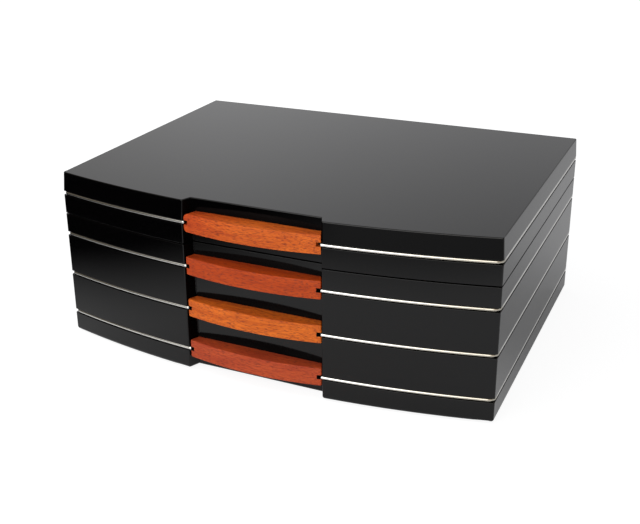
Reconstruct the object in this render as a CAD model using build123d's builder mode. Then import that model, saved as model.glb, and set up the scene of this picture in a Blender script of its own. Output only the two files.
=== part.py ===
# Desktop humidor: a lacquered box whose front bows out in two wings with a recess between them.
# Hardwood bar pulls cross the recess, one to each tier, and polished rods run in grooves from the
# pulls round the front corners to the back. The top tier is a lid on rear hinges, and below it is
# one deep well lined with cedar, with two lift-out trays over a space with sliding dividers.
# Millimetres, with X to the right, Y to the back and Z up. The origin is on the table, under the
# middle of the whole.
import math
import os

from build123d import *

os.makedirs("parts", exist_ok=True)

# Outer box
width = 440.0
side_depth = 305.0
tier_height = 43.0
body_tiers = ("lower", "middle", "upper")
front_bow = 27.0
corner_radius = 1.6
wall = 14.0
front_cover = 6.0
base_thickness = 12.0
lid_top_thickness = 12.0

# Recess in the middle of the front
recess_width = 130.0
recess_splay = 4.5
recess_reach = 14.0
wing_end_radius = 1.2

# Joint between the lid and the body, and eased edges
lid_gap = 1.2
joint_easing = 0.35
foot_easing = 3.2
top_easing = 0.9
lid_lean = 1.3
lip_height = 14.0
lip_clearance = 0.8
lip_bevel = 1.5

# Felt under the base
felt_thickness = 1.5
felt_inset = 8.0

# Rods and their grooves
rod_diameter = 3.2
rod_inset = 1.7
rod_bend = 5.5
rod_tip_reach = 2.2
rod_dome = 1.2
groove_clearance = 0.4
groove_easing = 0.3

# Bar pulls and their screws
pull_height = 17.8
pull_reach = 30.5
pull_end_reach = 23.2
pull_gap = 0.3
pull_corner = 1.6
pull_easing = 1.1
pull_back_tolerance = 0.01
notch_length = 3.4
notch_clearance = 0.4
notch_depth_behind_rod = 2.5
pull_screw_spacing = 90.0
pull_screw_diameter = 4.0
pull_screw_head = 8.0
pull_screw_bite = 8.0
pull_screw_play = 0.25

# Cedar lining
lining = 6.0
lid_lining_gap = 0.6

# Trays and dividers
ledge_size = 8.0
tray_height = 48.0
tray_rim_drop = 5.0
tray_clearance = 1.0
tray_wall = 6.0
tray_floor = 4.0
finger_radius = 12.0
slot_length = 38.0
slot_width = 5.0
slot_columns = 3
slot_rows = 7
slot_pitch_x = 54.0
slot_pitch_y = 34.0
divider_thickness = 6.0
divider_height = 44.0
divider_clearance = 0.3
divider_offset = 67.0
tray_divider_height = 30.0
divider_easing = 1.5

# Hinges
hinge_spacing = 240.0
hinge_length = 50.0
leaf_thickness = 1.6
leaf_depth = 12.0
knuckle_radius = 3.0
knuckle_relief = 0.4
knuckle_gap = 0.3
hinge_setback = 1.0
pin_diameter = 2.5
pin_clearance = 0.05
hinge_screw_spacing = 17.0
hinge_screw_edge = 7.0
hinge_screw_diameter = 3.0
hinge_screw_head = 5.4
hinge_screw_length = 12.0

# Hygrometer let into the lid
hygrometer_radius = 30.0
hygrometer_shift = 55.0
hygrometer_pocket = 5.0
hygrometer_can_wall = 1.4
bezel_lip = 3.0
bezel_height = 3.0
glass_thickness = 1.5
bezel_sight = 2.6
dial_thickness = 0.6
dial_setback = 3.4
needle_length = 22.0
needle_tail = 7.0
needle_width = 1.6
needle_thickness = 0.4
needle_height = 1.2
hub_radius = 2.0

# Humidifier under the lid
humidifier_length = 150.0
humidifier_width = 48.0
humidifier_height = 13.0
humidifier_shift = 45.0
humidifier_corner = 6.0
humidifier_wall = 2.0
grille_thickness = 2.0
grille_slot_length = 34.0
grille_slot_width = 3.0
grille_slots = 17
grille_pitch = 8.0

# Heights and plan lines that follow from the sizes above
tier_count = len(body_tiers) + 1
height = felt_thickness + tier_count * tier_height
joint_height = felt_thickness + len(body_tiers) * tier_height
rim_height = joint_height - lid_gap / 2
lid_bottom = joint_height + lid_gap / 2
base_top = felt_thickness + base_thickness
floor_top = base_top + lining
lip_top = joint_height + lip_height
lid_underside = height - lid_top_thickness
lid_ceiling = lid_underside - lining

hinge_reach = hinge_setback + knuckle_radius
total_depth = side_depth + pull_reach + hinge_reach
corner_y = pull_reach - total_depth / 2
back_y = corner_y + side_depth
panel_y = corner_y - recess_reach
front_inner = corner_y + front_cover
back_inner = back_y - wall
side_inner = width / 2 - wall
inner_middle = (front_inner + back_inner) / 2
inner_length = back_inner - front_inner
lined_half = side_inner - lining
lined_length = inner_length - 2 * lining
lined_front = front_inner + lining
lined_back = back_inner - lining

front_radius = (width**2 / 4 + front_bow**2) / (2 * front_bow)
front_centre = corner_y - front_bow + front_radius
mouth_half = recess_width / 2 + recess_splay
rod_radius = rod_diameter / 2
groove_depth = rod_inset + rod_radius
groove_height = rod_diameter + 2 * groove_clearance

lid_tier = height - tier_height / 2
hinge_y = back_y + hinge_setback
hinge_places = (-hinge_spacing / 2, hinge_spacing / 2)


def front_y(x, inset=0.0):
    """Y of the bowed front at this X, on an arc set back evenly behind it."""
    return front_centre - math.sqrt((front_radius - inset) ** 2 - x**2)


def on_outline(x, y, at_x, at_y):
    """True where a point of the plan is at plus or minus at_x and at at_y."""
    return math.isclose(abs(x), at_x, abs_tol=0.001) and math.isclose(y, at_y, abs_tol=0.001)


def tier_middle(tier):
    """Height of the middle of a tier, counted from the lowest."""
    return felt_thickness + tier_height * (tier + 0.5)


def keep(piece, name):
    """Names a finished piece and writes it."""
    piece.part.label = name
    export_step(piece.part, "parts/" + name + ".step")


def box_plan(lean=0.0):
    """Plan of the whole box: bowed wings, splayed recess walls and a straight recess panel.

    A lean sets the wings and the sides in, and leaves the recess and the back where they are."""
    half = width / 2 - lean
    half_y = front_y(half, lean)
    mouth = mouth_half - lean * recess_splay / (panel_y - front_y(mouth_half))
    mouth_y = front_y(mouth, lean)
    wing_middle = (mouth + half) / 2
    wing_middle_y = front_y(wing_middle, lean)
    with BuildSketch() as plan:
        with BuildLine():
            left_wing = ThreePointArc(
                (-half, half_y), (-wing_middle, wing_middle_y), (-mouth, mouth_y)
            )
            recess = Polyline(
                left_wing @ 1,
                (-recess_width / 2, panel_y),
                (recess_width / 2, panel_y),
                (mouth, mouth_y),
            )
            right_wing = ThreePointArc(
                recess @ 1, (wing_middle, wing_middle_y), (half, half_y)
            )
            Polyline(right_wing @ 1, (half, back_y), (-half, back_y), left_wing @ 0)
        make_face()
        outer_corners = [
            corner
            for corner in plan.vertices()
            if on_outline(corner.X, corner.Y, half, half_y)
            or on_outline(corner.X, corner.Y, half, back_y)
        ]
        fillet(outer_corners, radius=corner_radius)
        wing_ends = [
            corner for corner in plan.vertices() if on_outline(corner.X, corner.Y, mouth, mouth_y)
        ]
        fillet(wing_ends, radius=wing_end_radius)
    return plan.sketch


def groove_core():
    """Plan of what is left inside the grooves, from behind the wings to past the back."""
    half = width / 2 - groove_depth
    with BuildSketch() as core:
        with BuildLine():
            front = ThreePointArc(
                (-half, front_y(half, groove_depth)),
                (0, front_y(0, groove_depth)),
                (half, front_y(half, groove_depth)),
            )
            Polyline(front @ 1, (half, back_y + wall), (-half, back_y + wall), front @ 0)
        make_face()
        bends = [
            corner
            for corner in core.vertices()
            if on_outline(corner.X, corner.Y, half, front_y(half, groove_depth))
        ]
        fillet(bends, radius=rod_bend - rod_radius)
    return core.sketch


def is_groove_lip(edge, lip_level):
    """True for an edge that runs along a groove at the outer face."""
    middle = edge @ 0.5
    level = all(abs((edge @ share).Z - lip_level) < 0.001 for share in (0, 0.5, 1))
    at_side = abs(middle.X) > width / 2 - corner_radius / 2
    at_front = middle.Y < front_y(middle.X) + corner_radius / 2
    at_back = middle.Y > back_y - corner_radius / 2
    return level and (at_side or at_front) and not at_back


def walls(bottom, top, opening_play, rod_heights, bottom_easing, top_easing_radius):
    """The four walls in one, with the rod grooves and the eased outer edges."""
    with BuildPart() as ring:
        with BuildSketch(Plane.XY.offset(bottom)):
            add(box_plan())
            with Locations((0, inner_middle)):
                Rectangle(
                    2 * side_inner + 2 * opening_play,
                    inner_length + 2 * opening_play,
                    mode=Mode.SUBTRACT,
                )
        extrude(amount=top - bottom)
        if bottom_easing > 0:
            fillet(ring.faces().sort_by(Axis.Z)[0].outer_wire().edges(), radius=bottom_easing)
        if top_easing_radius > 0:
            fillet(ring.faces().sort_by(Axis.Z)[-1].outer_wire().edges(), radius=top_easing_radius)
        for rod_height in rod_heights:
            with BuildSketch(Plane.XY.offset(rod_height - groove_height / 2)):
                Rectangle(2 * width, 2 * total_depth)
                add(groove_core(), mode=Mode.SUBTRACT)
            extrude(amount=groove_height, mode=Mode.SUBTRACT)
        for rod_height in rod_heights:
            for lip_level in (rod_height - groove_height / 2, rod_height + groove_height / 2):
                lips = [edge for edge in ring.edges() if is_groove_lip(edge, lip_level)]
                fillet(lips, radius=groove_easing)
    return ring.part


def mitre_wedge(side, opening_play):
    """Plan of the wedge between two mitres, which cuts one board out of the four walls."""
    half = side_inner + opening_play
    front = front_inner - opening_play
    back = back_inner + opening_play
    far = 20
    inner = {
        "front_left": (-half, front),
        "front_right": (half, front),
        "back_right": (half, back),
        "back_left": (-half, back),
    }
    outer = {
        "front_left": (-width / 2, corner_y),
        "front_right": (width / 2, corner_y),
        "back_right": (width / 2, back_y),
        "back_left": (-width / 2, back_y),
    }
    corners = {
        "front": ("front_left", "front_right"),
        "right": ("front_right", "back_right"),
        "back": ("back_right", "back_left"),
        "left": ("back_left", "front_left"),
    }
    first, second = corners[side]
    reach = {
        corner: (
            inner[corner][0] + far * (outer[corner][0] - inner[corner][0]),
            inner[corner][1] + far * (outer[corner][1] - inner[corner][1]),
        )
        for corner in (first, second)
    }
    with BuildSketch() as wedge:
        with BuildLine():
            Polyline(inner[first], reach[first], reach[second], inner[second], close=True)
        make_face()
    return wedge.sketch


def countersunk_screw(diameter, head_diameter, length):
    """A countersunk screw with the top of its head at the origin, pointing down."""
    with BuildPart() as screw:
        Cylinder(diameter / 2, length, align=(Align.CENTER, Align.CENTER, Align.MAX))
        Cone(
            diameter / 2,
            head_diameter / 2,
            (head_diameter - diameter) / 2,
            align=(Align.CENTER, Align.CENTER, Align.MAX),
        )
    return screw.part


def pull_screw_places(rod_height, wall_face):
    """Where the two screws of a pull start, on the inside of the front wall or on the recess."""
    return [
        Plane(origin=(x, wall_face, rod_height), x_dir=(1, 0, 0), z_dir=(0, 1, 0))
        for x in (-pull_screw_spacing / 2, pull_screw_spacing / 2)
    ]


def hinge_screw_places(level, z_dir):
    """Where the three screws of each hinge leaf start, on the face of the leaf."""
    return [
        Plane(
            origin=(place + step * hinge_screw_spacing, back_y - hinge_screw_edge, level),
            x_dir=(1, 0, 0),
            z_dir=z_dir,
        )
        for place in hinge_places
        for step in (-1, 0, 1)
    ]


# Four lacquered walls of the body
# They are glued at mitred corners, so that the rods and the lacquer run on round the front.
body_rod_heights = [tier_middle(tier) for tier in range(len(body_tiers))]
body_walls = walls(
    felt_thickness, rim_height, 0.0, body_rod_heights, foot_easing, joint_easing
)

with BuildPart() as case_front:
    add(body_walls)
    with BuildSketch():
        add(mitre_wedge("front", 0.0))
    extrude(amount=height, mode=Mode.INTERSECT)
    for rod_height in body_rod_heights:
        with Locations(*pull_screw_places(rod_height, front_inner)):
            CounterSinkHole(
                pull_screw_diameter / 2 + pull_screw_play,
                pull_screw_head / 2,
                counter_sink_angle=90,
            )
keep(case_front, "case_front")

for side in ("left", "right"):
    with BuildPart() as case_side:
        add(body_walls)
        with BuildSketch():
            add(mitre_wedge(side, 0.0))
        extrude(amount=height, mode=Mode.INTERSECT)
    keep(case_side, "case_" + side)


def hinge_bed(face_level, leaf_side):
    """Room for both hinges in a back wall: a shallow bed for the leaf and a round one for the barrel."""
    with BuildPart() as bed:
        for place in hinge_places:
            with BuildSketch(Plane.XY.offset(face_level)):
                with Locations((place, back_y - leaf_depth / 2)):
                    Rectangle(hinge_length, leaf_depth)
            extrude(amount=leaf_side * leaf_thickness)
            with BuildSketch(Plane.YZ.offset(place - hinge_length / 2 - knuckle_relief)):
                with Locations((hinge_y, joint_height)):
                    Circle(knuckle_radius + knuckle_relief)
            extrude(amount=hinge_length + 2 * knuckle_relief)
    return bed.part


with BuildPart() as case_back:
    add(body_walls)
    with BuildSketch():
        add(mitre_wedge("back", 0.0))
    extrude(amount=height, mode=Mode.INTERSECT)
    add(hinge_bed(rim_height, -1), mode=Mode.SUBTRACT)
    with Locations(*hinge_screw_places(rim_height, (0, 0, 1))):
        Hole(hinge_screw_diameter / 2, depth=hinge_screw_length)
keep(case_back, "case_back")

# Base board between the walls, and the felt glued under it
with BuildPart() as case_base:
    with BuildSketch(Plane.XY.offset(felt_thickness)):
        with Locations((0, inner_middle)):
            Rectangle(2 * side_inner, inner_length)
    extrude(amount=base_thickness)
keep(case_base, "case_base")

with BuildPart() as base_felt:
    with BuildSketch():
        add(box_plan())
        offset(amount=-felt_inset)
    extrude(amount=felt_thickness)
keep(base_felt, "base_felt")

# Cedar boards that line the well
# The four upright ones stand above the rim as the lip that the lid closes over.
with BuildPart() as lining_floor:
    with BuildSketch(Plane.XY.offset(base_top)):
        with Locations((0, inner_middle)):
            Rectangle(2 * side_inner, inner_length)
    extrude(amount=lining)
keep(lining_floor, "lining_floor")

for end, outer_y, inward in (("front", front_inner, 1), ("back", back_inner, -1)):
    with BuildPart() as lining_end:
        with BuildSketch(Plane.XY.offset(floor_top)):
            with Locations((0, outer_y + inward * lining / 2)):
                Rectangle(2 * side_inner, lining)
        extrude(amount=lip_top - floor_top)
        crest = lining_end.edges().filter_by(Axis.X).group_by(Axis.Z)[-1]
        chamfer(crest.sort_by(Axis.Y)[0 if inward > 0 else -1], length=lip_bevel)
    keep(lining_end, "lining_" + end)

for side, outward in (("left", -1), ("right", 1)):
    with BuildPart() as lining_side:
        with BuildSketch(Plane.XY.offset(floor_top)):
            with Locations((outward * (side_inner - lining / 2), inner_middle)):
                Rectangle(lining, lined_length)
        extrude(amount=lip_top - floor_top)
        crest = lining_side.edges().filter_by(Axis.Y).group_by(Axis.Z)[-1]
        chamfer(crest.sort_by(Axis.X)[-1 if outward > 0 else 0], length=lip_bevel)
    keep(lining_side, "lining_" + side)

# Ledges glued to the front and back lining, which the trays stand on
tray_top = joint_height - tray_rim_drop
ledge_top = tray_top - tray_height
for end, glued_y, inward in (("front", lined_front, 1), ("back", lined_back, -1)):
    with BuildPart() as tray_ledge:
        with BuildSketch(Plane.XY.offset(ledge_top - ledge_size)):
            with Locations((0, glued_y + inward * ledge_size / 2)):
                Rectangle(2 * lined_half, ledge_size)
        extrude(amount=ledge_size)
        free_edge = tray_ledge.edges().filter_by(Axis.X).group_by(Axis.Z)[0]
        chamfer(free_edge.sort_by(Axis.Y)[-1 if inward > 0 else 0], length=ledge_size / 3)
    keep(tray_ledge, "tray_ledge_" + end)

# Dividers that slide from side to side on the floor of the well, under the trays
for side, outward in (("left", -1), ("right", 1)):
    with BuildPart() as well_divider:
        with BuildSketch(Plane.XY.offset(floor_top)):
            with Locations((outward * divider_offset, inner_middle)):
                Rectangle(divider_thickness, lined_length - 2 * divider_clearance)
        extrude(amount=divider_height)
        fillet(well_divider.edges().filter_by(Axis.Y).group_by(Axis.Z)[-1], radius=divider_easing)
    keep(well_divider, "well_divider_" + side)

# Two trays side by side, each a frame with a slotted floor and a divider that slides
# A scoop in the middle of the front and back of each frame lets the fingers lift it.
tray_width = (2 * lined_half - 3 * tray_clearance) / 2
tray_length = lined_length - 2 * tray_clearance
tray_middle = (tray_width + tray_clearance) / 2
for side, outward in (("left", -1), ("right", 1)):
    centre = (outward * tray_middle, inner_middle)
    with BuildPart() as tray_frame:
        with BuildSketch(Plane.XY.offset(ledge_top)):
            with Locations(centre):
                Rectangle(tray_width, tray_length)
                Rectangle(
                    tray_width - 2 * tray_wall, tray_length - 2 * tray_wall, mode=Mode.SUBTRACT
                )
        extrude(amount=tray_height)
        with BuildSketch(Plane.XZ.offset(tray_length / 2 - inner_middle)):
            with Locations((outward * tray_middle, tray_top)):
                Circle(finger_radius)
        extrude(amount=-tray_length, mode=Mode.SUBTRACT)
    keep(tray_frame, "tray_frame_" + side)

    with BuildPart() as tray_bottom:
        with BuildSketch(Plane.XY.offset(ledge_top)):
            with Locations(centre):
                Rectangle(tray_width - 2 * tray_wall, tray_length - 2 * tray_wall)
                with GridLocations(slot_pitch_x, slot_pitch_y, slot_columns, slot_rows):
                    SlotOverall(slot_length, slot_width, mode=Mode.SUBTRACT)
        extrude(amount=tray_floor)
    keep(tray_bottom, "tray_floor_" + side)

    with BuildPart() as tray_divider:
        with BuildSketch(Plane.XY.offset(ledge_top + tray_floor)):
            with Locations(centre):
                Rectangle(tray_width - 2 * tray_wall - 2 * divider_clearance, divider_thickness)
        extrude(amount=tray_divider_height)
        fillet(tray_divider.edges().filter_by(Axis.X).group_by(Axis.Z)[-1], radius=divider_easing)
    keep(tray_divider, "tray_divider_" + side)


# Bar pulls, flat on the recess panel and bowed in front, with splayed ends that follow the recess
# A notch in each end takes the tip of a rod. Two screws hold each pull from inside the front wall.
def pull_plan():
    """Plan of a pull."""
    wall_slope = recess_splay / (panel_y - front_y(mouth_half))
    back_half = recess_width / 2 - pull_gap
    end_half = back_half + wall_slope * (pull_end_reach - recess_reach)
    end_y = corner_y - pull_end_reach
    with BuildSketch() as plan:
        with BuildLine():
            bow = ThreePointArc((-end_half, end_y), (0, corner_y - pull_reach), (end_half, end_y))
            Polyline(bow @ 1, (back_half, panel_y), (-back_half, panel_y), bow @ 0)
        make_face()
        front_corners = [
            corner for corner in plan.vertices() if on_outline(corner.X, corner.Y, end_half, end_y)
        ]
        fillet(front_corners, radius=pull_corner)
    return plan.sketch


def is_ahead_of_panel(edge):
    """True for an edge of a pull that stands clear of the recess panel."""
    return (edge @ 0.5).Y < panel_y - pull_back_tolerance


def notch_plan():
    """Plan of the two notches that take the tips of the rods."""
    notch_end = mouth_half - rod_tip_reach - notch_length
    notch_back = front_y(mouth_half) + groove_depth + notch_depth_behind_rod
    notch_front = corner_y - pull_reach
    with BuildSketch() as plan:
        for outward in (-1, 1):
            with Locations((outward * (notch_end + mouth_half) / 2, (notch_back + notch_front) / 2)):
                Rectangle(mouth_half - notch_end, notch_back - notch_front)
    return plan.sketch


pull_heights = {tier + "_pull": tier_middle(level) for level, tier in enumerate(body_tiers)}
pull_heights["lid_pull"] = lid_tier
for name, middle in pull_heights.items():
    with BuildPart() as pull:
        with BuildSketch(Plane.XY.offset(middle - pull_height / 2)):
            add(pull_plan())
        extrude(amount=pull_height)
        fillet(pull.edges().filter_by(is_ahead_of_panel).group_by(Axis.Z)[0], radius=pull_easing)
        fillet(pull.edges().filter_by(is_ahead_of_panel).group_by(Axis.Z)[-1], radius=pull_easing)
        with BuildSketch(Plane.XY.offset(middle - rod_radius - notch_clearance)):
            add(notch_plan())
        extrude(amount=rod_diameter + 2 * notch_clearance, mode=Mode.SUBTRACT)
        with Locations(*pull_screw_places(middle, panel_y)):
            Hole(pull_screw_diameter / 2, depth=pull_screw_bite + lip_clearance)
    keep(pull, name)

pull_screw = countersunk_screw(
    pull_screw_diameter, pull_screw_head, front_inner - panel_y + pull_screw_bite
)
for name, levels, wall_face in (
    ("body_pull_screws", body_rod_heights, front_inner),
    ("lid_pull_screws", [lid_tier], front_inner - lip_clearance),
):
    with BuildPart() as pull_screws:
        for level in levels:
            with Locations(*pull_screw_places(level, wall_face)):
                add(pull_screw)
    keep(pull_screws, name)

# Polished rods, pressed into the grooves of a wing and a side in one length
# Each has a domed tip in the notch of its pull, a tight bend at the front corner and a square
# end that is flush with the back.
rod_heights = {tier: tier_middle(level) for level, tier in enumerate(body_tiers)}
rod_heights["lid"] = lid_tier
for tier, level in rod_heights.items():
    for side, outward in (("left", -1), ("right", 1)):
        tip_x = mouth_half - rod_tip_reach
        side_x = width / 2 - rod_inset
        bow_x = (tip_x + side_x) / 2
        with BuildPart() as rod:
            with BuildLine(Plane.XY.offset(level)) as route:
                along_wing = ThreePointArc(
                    (outward * tip_x, front_y(tip_x, rod_inset)),
                    (outward * bow_x, front_y(bow_x, rod_inset)),
                    (outward * side_x, front_y(side_x, rod_inset)),
                )
                Line(along_wing @ 1, (outward * side_x, back_y))
                bend = [
                    corner
                    for corner in route.vertices()
                    if on_outline(corner.X, corner.Y, side_x, front_y(side_x, rod_inset))
                ]
                fillet(bend, radius=rod_bend)
            with BuildSketch(Plane(origin=along_wing @ 0, z_dir=along_wing % 0)):
                Circle(rod_radius)
            sweep(path=route.line)
            tip_edge = rod.edges().sort_by(lambda edge: abs((edge @ 0.5).X))[0]
            fillet(tip_edge, radius=rod_dome)
        keep(rod, tier + "_rod_" + side)

# Lid: four mitred walls under a full top board, eased all round
# The opening is a little wider than the well, so that the lid slips over the cedar lip. Above
# the rod, the wings and the sides of the lid lean in a little towards the top.
lean_start = lid_tier + groove_height / 2 + 2 * groove_easing
with BuildPart() as lid_lean_room:
    with BuildSketch(Plane.XY.offset(lean_start)):
        add(box_plan())
    with BuildSketch(Plane.XY.offset(height)):
        add(box_plan(lid_lean))
    loft(ruled=True)

with BuildPart() as lid_room:
    with BuildSketch(Plane.XY.offset(felt_thickness)):
        Rectangle(2 * width, 2 * total_depth)
    extrude(amount=lean_start - felt_thickness)
    add(lid_lean_room)

with BuildPart() as lid_ring:
    add(walls(lid_bottom, lid_underside, lip_clearance, [lid_tier], joint_easing, 0.0))
    add(lid_room, mode=Mode.INTERSECT)
lid_walls = lid_ring.part

with BuildPart() as lid_front:
    add(lid_walls)
    with BuildSketch():
        add(mitre_wedge("front", lip_clearance))
    extrude(amount=height, mode=Mode.INTERSECT)
    with Locations(*pull_screw_places(lid_tier, front_inner - lip_clearance)):
        CounterSinkHole(
            pull_screw_diameter / 2 + pull_screw_play,
            pull_screw_head / 2,
            counter_sink_angle=90,
        )
keep(lid_front, "lid_front")

for side in ("left", "right"):
    with BuildPart() as lid_side:
        add(lid_walls)
        with BuildSketch():
            add(mitre_wedge(side, lip_clearance))
        extrude(amount=height, mode=Mode.INTERSECT)
    keep(lid_side, "lid_" + side)

with BuildPart() as lid_back:
    add(lid_walls)
    with BuildSketch():
        add(mitre_wedge("back", lip_clearance))
    extrude(amount=height, mode=Mode.INTERSECT)
    add(hinge_bed(lid_bottom, 1), mode=Mode.SUBTRACT)
    with Locations(*hinge_screw_places(lid_bottom, (0, 0, -1))):
        Hole(hinge_screw_diameter / 2, depth=hinge_screw_length)
keep(lid_back, "lid_back")

hygrometer_y = inner_middle - hygrometer_shift
with BuildPart() as lid_top:
    with BuildSketch(Plane.XY.offset(lid_underside)):
        add(box_plan())
    extrude(amount=lid_top_thickness)
    add(lid_lean_room, mode=Mode.INTERSECT)
    fillet(lid_top.faces().sort_by(Axis.Z)[-1].outer_wire().edges(), radius=top_easing)
    with BuildSketch(Plane.XY.offset(lid_underside)):
        with Locations((0, hygrometer_y)):
            Circle(hygrometer_radius)
    extrude(amount=hygrometer_pocket, mode=Mode.SUBTRACT)
keep(lid_top, "lid_top")

# Cedar in the lid: a panel under the top and a frame that comes down to the lip of the well
with BuildPart() as lid_lining_panel:
    with BuildSketch(Plane.XY.offset(lid_ceiling)):
        with Locations((0, inner_middle)):
            Rectangle(2 * side_inner + 2 * lip_clearance, inner_length + 2 * lip_clearance)
        with Locations((0, hygrometer_y)):
            Circle(hygrometer_radius, mode=Mode.SUBTRACT)
    extrude(amount=lining)
keep(lid_lining_panel, "lid_lining_panel")

lid_frame_bottom = lip_top + lid_lining_gap
with BuildPart() as lid_lining_frame:
    with BuildSketch(Plane.XY.offset(lid_frame_bottom)):
        with Locations((0, inner_middle)):
            Rectangle(2 * side_inner + 2 * lip_clearance, inner_length + 2 * lip_clearance)
            Rectangle(
                2 * lined_half + 2 * lip_clearance,
                lined_length + 2 * lip_clearance,
                mode=Mode.SUBTRACT,
            )
    extrude(amount=lid_ceiling - lid_frame_bottom)
keep(lid_lining_frame, "lid_lining_frame")


# Two brass hinges, let into the rims of the back walls, with their barrels behind the box
# The middle knuckle is the lid's and the outer two are the body's.
knuckle_third = hinge_length / 3


def hinge_leaf(place, plate_level, knuckle_steps, bore):
    """A leaf with its own knuckles, and with room cut for the knuckles of the other leaf."""
    with BuildPart() as leaf:
        with BuildSketch(Plane.XY.offset(plate_level)):
            with Locations((place, (back_y - leaf_depth + hinge_y) / 2)):
                Rectangle(hinge_length, leaf_depth + hinge_setback)
            for step in (-1, 0, 1):
                if step not in knuckle_steps:
                    with Locations((place + step * knuckle_third, hinge_y)):
                        Rectangle(
                            knuckle_third + knuckle_gap,
                            2 * (knuckle_radius + knuckle_relief),
                            mode=Mode.SUBTRACT,
                        )
        extrude(amount=leaf_thickness)
        for step in knuckle_steps:
            knuckle_length = knuckle_third - knuckle_gap
            start = place + step * knuckle_third - knuckle_length / 2
            with BuildSketch(Plane.YZ.offset(start)):
                with Locations((hinge_y, joint_height)):
                    Circle(knuckle_radius)
            extrude(amount=knuckle_length)
        with BuildSketch(Plane.YZ.offset(place - hinge_length / 2)):
            with Locations((hinge_y, joint_height)):
                Circle(bore / 2)
        extrude(amount=hinge_length, mode=Mode.SUBTRACT)
    return leaf.part


for side, place in zip(("left", "right"), hinge_places):
    with BuildPart() as case_leaf:
        add(hinge_leaf(place, rim_height - leaf_thickness, (-1, 1), pin_diameter))
        with Locations(*hinge_screw_places(rim_height, (0, 0, 1))):
            CounterSinkHole(hinge_screw_diameter / 2, hinge_screw_head / 2, counter_sink_angle=90)
    keep(case_leaf, "hinge_case_leaf_" + side)

    with BuildPart() as lid_leaf:
        add(hinge_leaf(place, lid_bottom, (0,), pin_diameter + 2 * pin_clearance))
        with Locations(*hinge_screw_places(lid_bottom, (0, 0, -1))):
            CounterSinkHole(hinge_screw_diameter / 2, hinge_screw_head / 2, counter_sink_angle=90)
    keep(lid_leaf, "hinge_lid_leaf_" + side)

    with BuildPart() as hinge_pin:
        with BuildSketch(Plane.YZ.offset(place - hinge_length / 2)):
            with Locations((hinge_y, joint_height)):
                Circle(pin_diameter / 2)
        extrude(amount=hinge_length)
    keep(hinge_pin, "hinge_pin_" + side)

hinge_screw = countersunk_screw(hinge_screw_diameter, hinge_screw_head, hinge_screw_length)
for name, level, z_dir in (
    ("hinge_case_screws", rim_height, (0, 0, 1)),
    ("hinge_lid_screws", lid_bottom, (0, 0, -1)),
):
    with BuildPart() as hinge_screws:
        with Locations(*hinge_screw_places(level, z_dir)):
            add(hinge_screw)
    keep(hinge_screws, name)


# Hygrometer: a can pressed into the lid, with a dial, a needle on a hub, a glass and a bezel
# Its face looks down into the well, so the list below runs from the lid to the face.
def turned(points):
    """A turned piece from half its section, given as radius and height under the lid's lining."""
    with BuildPart() as piece:
        with BuildSketch(
            Plane(origin=(0, hygrometer_y, lid_ceiling), x_dir=(1, 0, 0), z_dir=(0, -1, 0))
        ):
            with BuildLine():
                Polyline(*points, close=True)
            make_face()
        revolve(axis=Axis((0, hygrometer_y, 0), (0, 0, 1)))
    return piece


can_depth = lining + hygrometer_pocket
can_inner = hygrometer_radius - hygrometer_can_wall
hygrometer_can = turned(
    [
        (0, can_depth),
        (hygrometer_radius, can_depth),
        (hygrometer_radius, 0),
        (can_inner, 0),
        (can_inner, can_depth - hygrometer_can_wall),
        (0, can_depth - hygrometer_can_wall),
    ]
)
keep(hygrometer_can, "hygrometer_can")

dial_face = dial_setback
hygrometer_dial = turned(
    [
        (0, dial_face),
        (can_inner, dial_face),
        (can_inner, dial_face + dial_thickness),
        (0, dial_face + dial_thickness),
    ]
)
keep(hygrometer_dial, "hygrometer_dial")

sight_radius = can_inner - bezel_sight
hygrometer_glass = turned(
    [(0, -glass_thickness), (can_inner, -glass_thickness), (can_inner, 0), (0, 0)]
)
keep(hygrometer_glass, "hygrometer_glass")

hygrometer_bezel = turned(
    [
        (sight_radius, -glass_thickness),
        (can_inner, -glass_thickness),
        (can_inner, 0),
        (hygrometer_radius + bezel_lip, 0),
        (hygrometer_radius + bezel_lip, -bezel_height / 3),
        (hygrometer_radius, -bezel_height),
        (can_inner, -bezel_height),
        (sight_radius, -glass_thickness - bezel_height / 6),
    ]
)
keep(hygrometer_bezel, "hygrometer_bezel")

needle_level = lid_ceiling + dial_face - needle_height
with BuildPart() as hygrometer_needle:
    with BuildSketch(Plane.XY.offset(needle_level)):
        with BuildLine():
            Polyline(
                (-needle_width / 2, hygrometer_y + needle_tail),
                (needle_width / 2, hygrometer_y + needle_tail),
                (needle_width / 2, hygrometer_y),
                (0, hygrometer_y - needle_length),
                (-needle_width / 2, hygrometer_y),
                close=True,
            )
        make_face()
    extrude(amount=needle_thickness)
    with BuildSketch(Plane.XY.offset(needle_level)):
        with Locations((0, hygrometer_y)):
            Circle(hub_radius)
    extrude(amount=needle_height)
keep(hygrometer_needle, "hygrometer_needle")

# Humidifier under the lid: a shallow case, a water-holding foam and a slotted grille
humidifier_y = inner_middle + humidifier_shift
humidifier_bottom = lid_ceiling - humidifier_height


def humidifier_plan(inset):
    """Plan of the humidifier, set in evenly."""
    with BuildSketch() as plan:
        with Locations((0, humidifier_y)):
            RectangleRounded(
                humidifier_length - 2 * inset,
                humidifier_width - 2 * inset,
                humidifier_corner - inset,
            )
    return plan.sketch


with BuildPart() as humidifier_case:
    with BuildSketch(Plane.XY.offset(humidifier_bottom)):
        add(humidifier_plan(0.0))
    extrude(amount=humidifier_height)
    with BuildSketch(Plane.XY.offset(humidifier_bottom)):
        add(humidifier_plan(humidifier_wall))
    extrude(amount=humidifier_height - humidifier_wall, mode=Mode.SUBTRACT)
keep(humidifier_case, "humidifier_case")

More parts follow.
